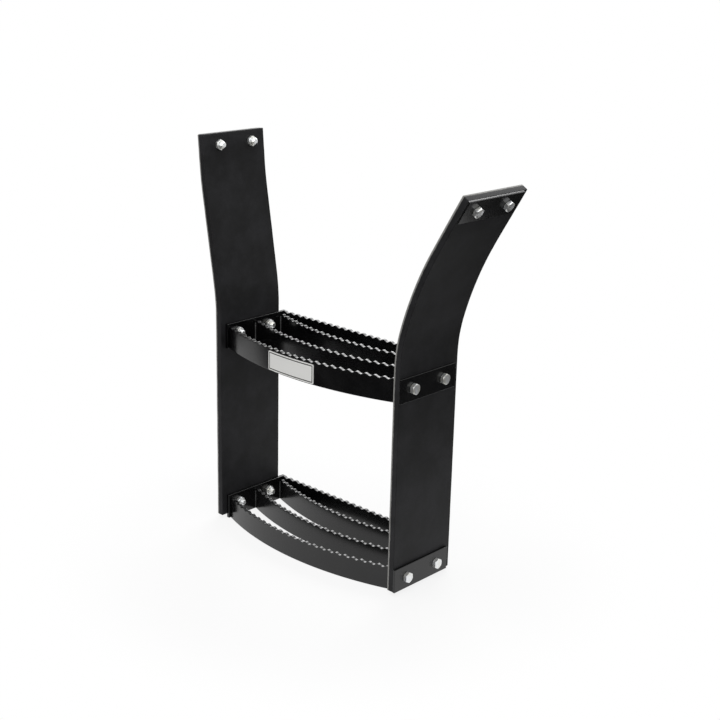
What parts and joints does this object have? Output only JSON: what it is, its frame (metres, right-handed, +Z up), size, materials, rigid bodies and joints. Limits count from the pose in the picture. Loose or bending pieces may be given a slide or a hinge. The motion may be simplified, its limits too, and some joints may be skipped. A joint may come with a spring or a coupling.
{
  "type": "bolt-on step",
  "caption": "Bolt-on step with curved wave-edged steel treads hung between flexible rubber side straps that bolt to a vehicle or machine at their tops.",
  "frame": {"origin": "on the floor under the middle of the whole step's box", "axes": "+Z up, +X across the step to its right, +Y from the front of the treads to the back"},
  "size_m": [0.4742, 0.136, 0.544],
  "materials": {
    "rubber_belting": "matte calendered belting",
    "black_painted_steel": "gloss black paint",
    "zinc_plated_steel": "bright zinc plate",
    "name_plate_aluminium": "satin, bare"
  },
  "bodies": {
    "root": {"left_strap": "rubber_belting", "left_lower_backing_plate": "black_painted_steel", "left_upper_backing_plate": "black_painted_steel", "left_top_backing_plate": "black_painted_steel", "right_strap": "rubber_belting", "right_lower_backing_plate": "black_painted_steel", "right_upper_backing_plate": "black_painted_steel", "right_top_backing_plate": "black_painted_steel", "lower_front_bar": "black_painted_steel", "lower_second_bar": "black_painted_steel", "lower_third_bar": "black_painted_steel", "lower_back_bar": "black_painted_steel", "lower_left_end_plate": "black_painted_steel", "lower_right_end_plate": "black_painted_steel", "upper_front_bar": "black_painted_steel", "upper_second_bar": "black_painted_steel", "upper_third_bar": "black_painted_steel", "upper_back_bar": "black_painted_steel", "upper_left_end_plate": "black_painted_steel", "upper_right_end_plate": "black_painted_steel", "hex_bolts": "zinc_plated_steel", "hex_nuts": "zinc_plated_steel", "name_plate": "name_plate_aluminium"}
  },
  "joints": []
}
